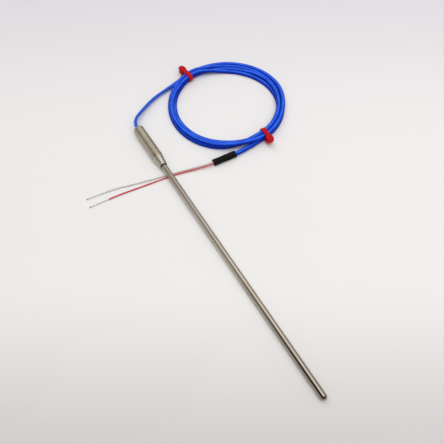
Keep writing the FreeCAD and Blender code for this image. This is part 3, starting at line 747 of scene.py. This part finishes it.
JACKET_DEEP = (0.0006, 0.048, 0.57)
JACKET_BLUE = (0.0014, 0.070, 0.74)
JACKET_PAINTED_SHEEN = (0.036, 0.165, 0.88)
JACKET_PAINTED_SHADE = (0.0001, 0.008, 0.27)
JACKET_SPECK = (0.01, 0.14, 0.9)
SPECK_SHARE = 0.25
COIL_PAINTED_SHADE = 0.85
LEAD_PAINTED_SHADE = 0.10
LEAD_BLUE = (0.034, 0.150, 0.72)
LEAD_PALENESS = 0.65
LEAD_END = (0.13, 0.07)
JACKET_LINES = (2600.0, 2600.0, 18.0)
JACKET_WAVES = (150.0, 150.0, 90.0)
JACKET_CROWN = 0.0003
JACKET_FLAT = 0.0011
JACKET_EDGE = 0.0022
TIE_DEEP = (0.42, 0.001, 0.003)
TIE_RED = (0.60, 0.002, 0.006)
SHRINK_DEEP = (0.0035, 0.0035, 0.0038)
SHRINK_BLACK = (0.007, 0.007, 0.0072)
SHRINK_DUST = (0.04, 0.04, 0.04)
DUST_SHARE = 0.25
SHRINK_WRINKLES = (420.0, 420.0, 160.0)
CORE_WAVES = (300.0, 300.0, 120.0)


def blue_jacket():
    """Extruded jacket: painted sheen on its crown, painted shade on its edges in the coil, a paler
    lead.
    """
    plain = {"Specular IOR Level": 0.1, "Coat Roughness": 0.12}
    material, shader, wire = start_finish("blue_jacket", plain)
    lay = lay_place(wire)
    lines = cloud(lay, scale=1.0, detail=3.0, stretch=JACKET_LINES)
    waves = cloud(lay, scale=1.0, detail=2.0, stretch=JACKET_WAVES)
    grain = cloud(lay, scale=2600.0, detail=3.0)
    across = part_of(lay, "X")
    sheen_band = ranged(across * across, JACKET_FLAT ** 2, JACKET_CROWN ** 2)
    edge = ranged(across * across, JACKET_FLAT ** 2, JACKET_EDGE ** 2)
    lead = ranged(part_of(lay, "Z"), *LEAD_END)
    colour = mottled(waves, JACKET_DEEP, JACKET_BLUE)
    # Painted highlight: a paler blue sheen along the crown of the cable.
    colour = mixed(sheen_band * ranged(waves, 0.3, 0.7, 0.5, 1.0), colour, JACKET_PAINTED_SHEEN)
    colour = mixed(LEAD_PALENESS * lead, colour, LEAD_BLUE)
    # Painted shade: the cable's edges darken, strongly in the coil and little on the lead.
    shade = COIL_PAINTED_SHADE - (COIL_PAINTED_SHADE - LEAD_PAINTED_SHADE) * lead
    colour = mixed(edge * shade, colour, JACKET_PAINTED_SHADE)
    colour = mixed(SPECK_SHARE * ranged(grain, 0.66, 0.78), colour, JACKET_SPECK)
    rough = 0.22 + 0.1 * lines + 0.06 * grain
    coat = 0.01 + 0.06 * waves
    normal = bumped(lines * 0.6 + waves + 0.25 * grain, distance=0.00002, strength=0.5)
    feed(shader, {"Base Color": colour, "Roughness": rough, "Coat Weight": coat, "Normal": normal})
    return material


def red_nylon():
    """Moulded nylon: deep red with a satin skin."""
    material, shader, wire = start_finish("red_nylon", {"Specular IOR Level": 0.14})
    place = object_place(wire)
    patches = cloud(place, scale=240.0, detail=3.0)
    grain = cloud(place, scale=3800.0, detail=2.0)
    colour = mottled(patches, TIE_DEEP, TIE_RED)
    rough = 0.26 + 0.16 * grain + 0.08 * patches
    normal = bumped(grain, distance=0.00002, strength=0.35)
    feed(shader, {"Base Color": colour, "Roughness": rough, "Normal": normal})
    return material


def black_shrink():
    """Heat-shrunk tube: satin black, wrinkled a little, with dust on its skin."""
    material, shader, wire = start_finish("black_shrink", {"Specular IOR Level": 0.1})
    lay = lay_place(wire)
    wrinkles = cloud(lay, scale=1.0, detail=3.0, stretch=SHRINK_WRINKLES)
    grain = cloud(lay, scale=3000.0, detail=3.0)
    dust = DUST_SHARE * ranged(grain, 0.66, 0.8)
    colour = mixed(ranged(wrinkles, 0.35, 0.75), SHRINK_DEEP, SHRINK_BLACK)
    colour = mixed(dust, colour, SHRINK_DUST)
    rough = 0.42 + 0.14 * grain + 0.1 * wrinkles
    normal = bumped(wrinkles + 0.12 * grain, distance=0.00009, strength=0.5)
    feed(shader, {"Base Color": colour, "Roughness": rough, "Normal": normal})
    return material


def core_insulation(name, colour, other):
    """Thin extruded insulation of one core."""
    material, shader, wire = start_finish(name, {"Specular IOR Level": 0.3})
    lay = lay_place(wire)
    waves = cloud(lay, scale=1.0, detail=3.0, stretch=CORE_WAVES)
    grain = cloud(lay, scale=4000.0, detail=2.0)
    shade = mottled(waves, colour, other)
    rough = 0.34 + 0.14 * grain
    normal = bumped(waves + 0.2 * grain, distance=0.00001, strength=0.4)
    feed(shader, {"Base Color": shade, "Roughness": rough, "Normal": normal})
    return material


# Bare wire, and what is inside the sheath and the pot

STRAND_STEEL = (0.52, 0.49, 0.46)
STRAND_BRIGHT = (0.64, 0.62, 0.6)
TINNED_DULL = (0.13, 0.125, 0.125)
TINNED_SHARE = 0.75
TINNED_START = 0.0022
TINNED_FULL = 0.0012
WIRE_LINES = (40.0, 3000.0, 3000.0)
GRAIN_FINER = 8.0


def tinned_wire(name, length):
    """Bright strands, run together and dull at the tinned tip."""
    material, shader, wire = start_finish(name, {"Metallic": 1.0})
    lay = lay_place(wire)
    grain = cloud(lay, scale=3000.0, detail=3.0)
    tinned = ranged(part_of(lay, "Z"), length - TINNED_START, length - TINNED_FULL)
    colour = mottled(grain, STRAND_STEEL, STRAND_BRIGHT)
    colour = mixed(TINNED_SHARE * tinned, colour, TINNED_DULL)
    rough = 0.3 + 0.12 * grain + 0.12 * tinned
    normal = bumped(grain, distance=0.000008, strength=0.4)
    feed(shader, {"Base Color": colour, "Roughness": rough, "Normal": normal})
    return material


def wire_metal(name, colour, other):
    """Drawn wire or pressed sheet inside the pot."""
    material, shader, wire = start_finish(name, {"Metallic": 1.0})
    lines = cloud(object_place(wire), scale=1.0, detail=3.0, stretch=WIRE_LINES)
    shade = mottled(lines, colour, other)
    rough = 0.3 + 0.2 * lines
    normal = bumped(lines, distance=0.000006, strength=0.4)
    feed(shader, {"Base Color": shade, "Roughness": rough, "Normal": normal})
    return material


def cast_filling(name, colour, other, scale, smoothest, bump):
    """A poured, packed or moulded filling: two shades, with grain."""
    material, shader, wire = start_finish(name, {})
    place = object_place(wire)
    patches = cloud(place, scale, detail=4.0)
    grain = cloud(place, scale * GRAIN_FINER, detail=3.0)
    shade = mottled(patches, colour, other)
    rough = smoothest + 0.25 * grain
    normal = bumped(grain, distance=bump, strength=0.5)
    feed(shader, {"Base Color": shade, "Roughness": rough, "Normal": normal})
    return material


# Which finish goes where

CORE_RED = ((0.56, 0.055, 0.070), (0.64, 0.075, 0.090))
CORE_WHITE = ((0.58, 0.565, 0.53), (0.66, 0.645, 0.61))
POT_CORE_RED = ((0.50, 0.020, 0.035), (0.60, 0.030, 0.048))
POWDER = ((0.72, 0.71, 0.67), (0.80, 0.79, 0.76))
POTTING = ((0.018, 0.018, 0.02), (0.03, 0.03, 0.032))
END_SEAL = ((0.30, 0.22, 0.12), (0.36, 0.27, 0.16))
SPLICE_COVER = ((0.55, 0.54, 0.50), (0.62, 0.61, 0.57))
BRASS = ((0.62, 0.42, 0.16), (0.70, 0.50, 0.22))
ELEMENT_ALLOY = ((0.40, 0.38, 0.35), (0.48, 0.46, 0.43))
COPPER = ((0.62, 0.33, 0.20), (0.70, 0.40, 0.26))

cover(cable, blue_jacket())
cover(red_tail, core_insulation("red_insulation", *CORE_RED))
cover(white_tail, core_insulation("white_insulation", *CORE_WHITE))
cover(red_strands, tinned_wire("tinned_red_end", RED_BARE))
cover(white_strands, tinned_wire("tinned_white_end", WHITE_BARE))
cover(sleeve, black_shrink())

ties = red_nylon()
brass = wire_metal("splice_brass", *BRASS)
covers = cast_filling("splice_cover", *SPLICE_COVER, scale=400.0, smoothest=0.35, bump=0.00001)
potting = cast_filling("potting_resin", *POTTING, scale=260.0, smoothest=0.25, bump=0.00002)
powder = cast_filling("packed_powder", *POWDER, scale=700.0, smoothest=0.7, bump=0.00003)
seal = cast_filling("seal_resin", *END_SEAL, scale=500.0, smoothest=0.3, bump=0.00002)
pot_red = cast_filling("pot_red_core", *POT_CORE_RED, scale=300.0, smoothest=0.34, bump=0.00001)
pot_white = cast_filling("pot_white_core", *CORE_WHITE, scale=300.0, smoothest=0.34, bump=0.00001)
element_alloy = wire_metal("element_alloy", *ELEMENT_ALLOY)
copper = wire_metal("inner_conductor", *COPPER)
NODE_FINISHES = {
    "probe_sheath": drawn_steel(),
    "pot_sleeve": turned_steel(),
    "cable_tie_upper": ties,
    "cable_tie_lower": ties,
    "potting_resin": potting,
    "mineral_core": powder,
    "sheath_end_seal": seal,
    "element_positive": element_alloy,
    "element_negative": element_alloy,
    "hot_junction": element_alloy,
    "splice_ferrule_positive": brass,
    "splice_ferrule_negative": brass,
    "splice_sleeve_positive": covers,
    "splice_sleeve_negative": covers,
    "pot_conductor_red": copper,
    "pot_conductor_white": copper,
    "pot_core_red": pot_red,
    "pot_core_white": pot_white,
}
for name, material in NODE_FINISHES.items():
    cover(nodes[name], material)

# Floor and light

FLOOR_RADIUS = 14.0
FLOOR_SEGMENTS = 96
FLOOR_COLOUR = (0.885, 0.875, 0.865)
FLOOR_NEAR_SHADE = (0.63, 0.605, 0.585)
FLOOR_FAR_SHADE = (0.78, 0.75, 0.79)
NEAR_START = (0.03, 0.2)
NEAR_END = (0.2, 0.8)
FAR_START = (-0.1, -0.4)
FAR_END = (-0.4, -1.0)
TOWARDS_CAMERA = Vector((0.857, -0.515, 0.0))
KEY_PLACE = Vector((0.10, 0.30, 0.90))
KEY_TARGET = Vector((0.0, 0.03, 0.0))
KEY_SIDE = 1.0
KEY_POWER = 2.0


def add_floor():
    """A pale table with painted shade: a little darker towards the camera and towards the back."""
    mesh = bmesh.new()
    bmesh.ops.create_circle(mesh, cap_ends=True, segments=FLOOR_SEGMENTS, radius=FLOOR_RADIUS)
    data = bpy.data.meshes.new("floor")
    mesh.to_mesh(data)
    mesh.free()
    floor = bpy.data.objects.new("floor", data)
    scene.collection.objects.link(floor)
    material, shader, wire = start_finish("pale_table", {"Specular IOR Level": 0.25})
    place = object_place(wire)
    patches = cloud(place, scale=9.0, detail=2.0)
    nearness = wire.node("ShaderNodeVectorMath", {"operation": "DOT_PRODUCT"},
                         {0: place, 1: tuple(TOWARDS_CAMERA)}, "Value")
    # Painted shade: darker bands towards the camera and the back, pale again far off.
    colour = mixed(ranged(nearness, *NEAR_START), FLOOR_COLOUR, FLOOR_NEAR_SHADE)
    colour = mixed(ranged(nearness, *FAR_START), colour, FLOOR_FAR_SHADE)
    colour = mixed(ranged(nearness, *NEAR_END), colour, FLOOR_COLOUR)
    colour = mixed(ranged(nearness, *FAR_END), colour, FLOOR_COLOUR)
    feed(shader, {"Base Color": colour, "Roughness": 0.5 + 0.1 * patches})
    cover(floor, material)


def add_key_light():
    data = bpy.data.lights.new("key", "AREA")
    data.size = KEY_SIDE
    data.energy = KEY_POWER
    key = bpy.data.objects.new("key", data)
    key.location = KEY_PLACE
    key.rotation_euler = (KEY_TARGET - KEY_PLACE).to_track_quat("-Z", "Y").to_euler()
    scene.collection.objects.link(key)


# Room, with angles that lean from straight up towards +Y

ROOM_COLOUR = (1.0, 0.99, 0.985, 1.0)
LOW_LEVEL = 0.38
HIGH_LEVEL = 1.85
BACKGROUND_LEVEL = 0.95
CEILING_NEAR = (math.radians(-34), math.radians(-14))
CEILING_FAR = (math.radians(22), math.radians(2))
DARK_TOP = (math.radians(-14), math.radians(-21))
DARK_BOTTOM = (math.radians(-62), math.radians(-86), 1.0, 0.2)
DARK_ALONG = (-0.36, -0.04, 0.53, 0.99)
END_ALONG = (0.15, 0.4, 0.0, 0.95)
END_UP = (0.2, 0.45)
WALL_TOP = (math.radians(38), math.radians(58), 0.0, 0.55)
WALL_SLANT = 0.38


def add_world():
    """A pale room lit from above. Metal also shows its dim walls and its dark side."""
    world = bpy.data.worlds.new("studio")
    world.use_nodes = True
    scene.world = world
    wire = Wire(world.node_tree)
    background = world.node_tree.nodes["Background"]
    around = wire.node("ShaderNodeTexCoord", {}, {}, "Generated")
    along = part_of(around, "X")
    up = part_of(around, "Z")
    lean = wire.maths("ARCTAN2", part_of(around, "Y"), up)
    dark_side = ranged(lean, *DARK_TOP) * ranged(lean, *DARK_BOTTOM) * ranged(along, *DARK_ALONG)
    dark_end = ranged(along, *END_ALONG) * ranged(up, *END_UP)
    walls = ranged(lean + WALL_SLANT * along, *WALL_TOP)
    dim = wire.maths("MAXIMUM", wire.maths("MAXIMUM", dark_side, dark_end), walls)
    ceiling = ranged(lean, *CEILING_NEAR) * ranged(lean, *CEILING_FAR)
    camera_ray = wire.node("ShaderNodeLightPath", {}, {}, "Is Camera Ray")
    kinds = camera_ray.socket.node.outputs
    glossy_ray = Wire(world.node_tree, kinds["Is Glossy Ray"])
    clear_ray = Wire(world.node_tree, kinds["Is Transmission Ray"])
    seen = wire.maths("MAXIMUM", camera_ray, wire.maths("MAXIMUM", glossy_ray, clear_ray))
    lit = LOW_LEVEL + (HIGH_LEVEL - LOW_LEVEL) * ceiling
    mirrored = BACKGROUND_LEVEL * (1 - glossy_ray * dim)
    background.inputs["Color"].default_value = ROOM_COLOUR
    feed(background, {"Strength": lit + (mirrored - lit) * seen})


add_floor()
add_key_light()
add_world()
